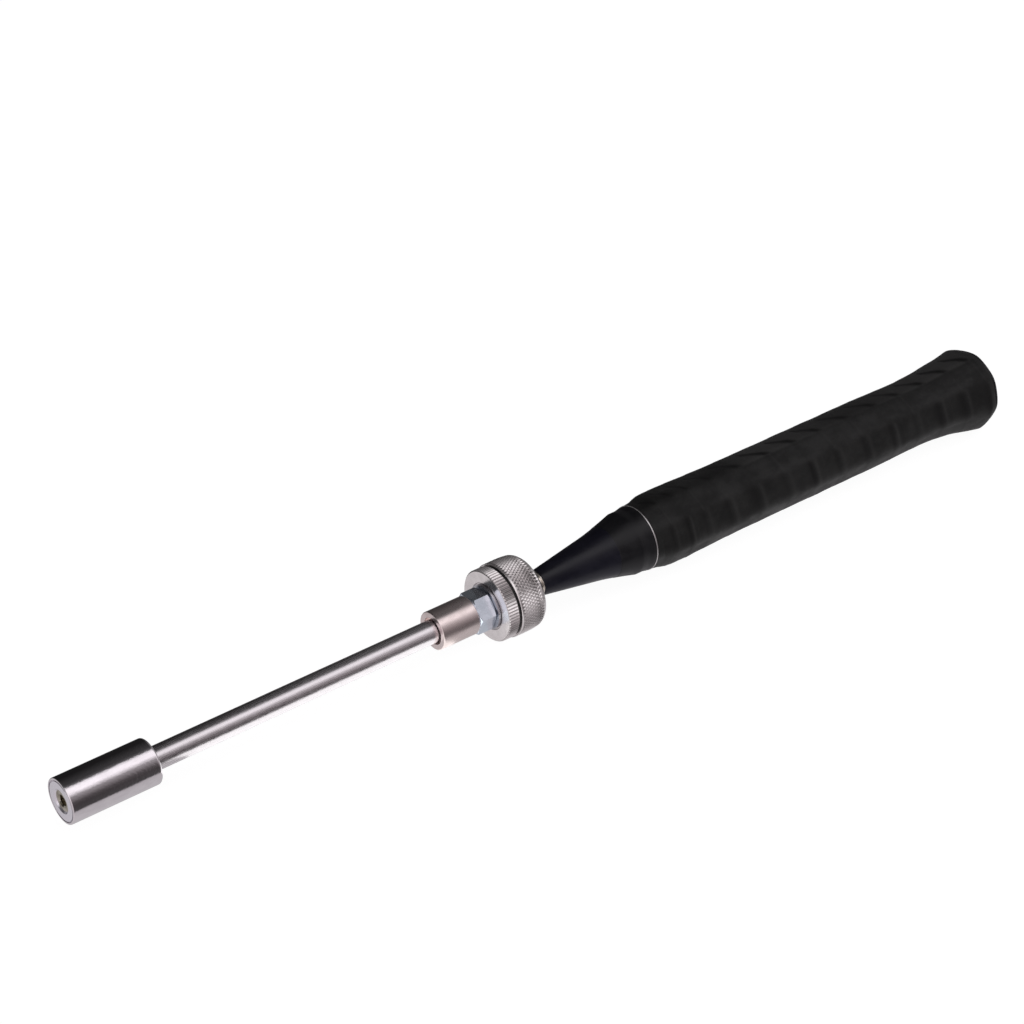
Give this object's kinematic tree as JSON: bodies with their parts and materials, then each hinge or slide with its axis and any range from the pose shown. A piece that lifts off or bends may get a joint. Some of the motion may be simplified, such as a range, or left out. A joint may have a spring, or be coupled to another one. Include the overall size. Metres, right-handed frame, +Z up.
{
  "type": "magnetic pickup tool",
  "caption": "Telescopic magnetic pickup tool: steel magnet head on nested tubes, knurled thumb and lock nuts on a threaded stud, black cone and tape-wrapped flared octagonal handle.",
  "frame": {"origin": "centre of the magnet's face, at the tip", "axes": "+X along the tool from the magnet to the butt; the magnet faces -X; +Z up, at right angles to two of the handle's flats; +Y to the left when looking along +X"},
  "size_m": [0.476, 0.0381, 0.0382],
  "materials": {
    "polished_steel": "mirror nickel plate",
    "satin_steel": "ground satin",
    "dark_steel": "black oxide",
    "magnet": "nickel-plated sintered magnet",
    "tube_steel": "drawn, fine lengthwise grain",
    "brass": "machined",
    "zinc": "bright blue-white zinc plate",
    "nickel": "knurled, satin nickel plate",
    "gasket_rubber": "smooth",
    "black_anodised": "black anodised, semi-gloss",
    "black_matte": "matte",
    "beech": "raw",
    "cushion": "foam",
    "grip_black": "soft polyurethane, slightly tacky"
  },
  "bodies": {
    "handle": {"stud": "zinc", "shaft_socket": "polished_steel", "outer_tube": "tube_steel", "tube_plug": "tube_steel", "hex_nut": "zinc", "nut_washer": "zinc", "lock_ring": "nickel", "front_cone": "black_anodised", "cone_collar": "gasket_rubber", "trim_ring": "polished_steel", "handle_core": "beech", "stud_insert": "brass", "anchor_pin": "tube_steel", "grip_underlay": "cushion", "grip_tape": "grip_black", "butt_cap": "black_matte"},
    "gasket": {"nut_gasket": "gasket_rubber"},
    "thumb_nut": {"thumb_nut": "nickel"},
    "section_2": {"tube_2": "tube_steel", "bush_2": "brass"},
    "section_3": {"tube_3": "tube_steel", "bush_3": "brass"},
    "rod_guide": {"rod_bush": "brass"},
    "magnet_head": {"inner_rod": "tube_steel", "rod_stop": "tube_steel", "head_shell": "polished_steel", "pole_disc": "satin_steel", "ring_magnet": "magnet", "back_magnet": "magnet", "magnet_screw": "dark_steel"}
  },
  "joints": [
    {"name": "thumb_nut_travel", "type": "slide", "parent": "handle", "child": "gasket", "axis": [1, 0, 0], "range_m": [0, 0.0066]},
    {"name": "thumb_nut_turn", "type": "hinge", "parent": "gasket", "child": "thumb_nut", "pos_m": [0.2128, 0, 0], "axis": [1, 0, 0], "range_deg": [0, 1584]},
    {"name": "section_2_slide", "type": "slide", "parent": "handle", "child": "section_2", "axis": [-1, 0, 0], "range_m": [0, 0.1283]},
    {"name": "section_3_slide", "type": "slide", "parent": "section_2", "child": "section_3", "axis": [-1, 0, 0], "range_m": [0, 0.1283]},
    {"name": "rod_slide", "type": "slide", "parent": "section_3", "child": "rod_guide", "axis": [-1, 0, 0], "range_m": [0, 0.1271]},
    {"name": "head_turn", "type": "hinge", "parent": "rod_guide", "child": "magnet_head", "pos_m": [0.0392, 0, 0], "axis": [1, 0, 0], "continuous": true}
  ],
  "couplings": [
    {"joint": "thumb_nut_turn", "follows": "thumb_nut_travel", "rad_per_m": 4188.8}
  ]
}
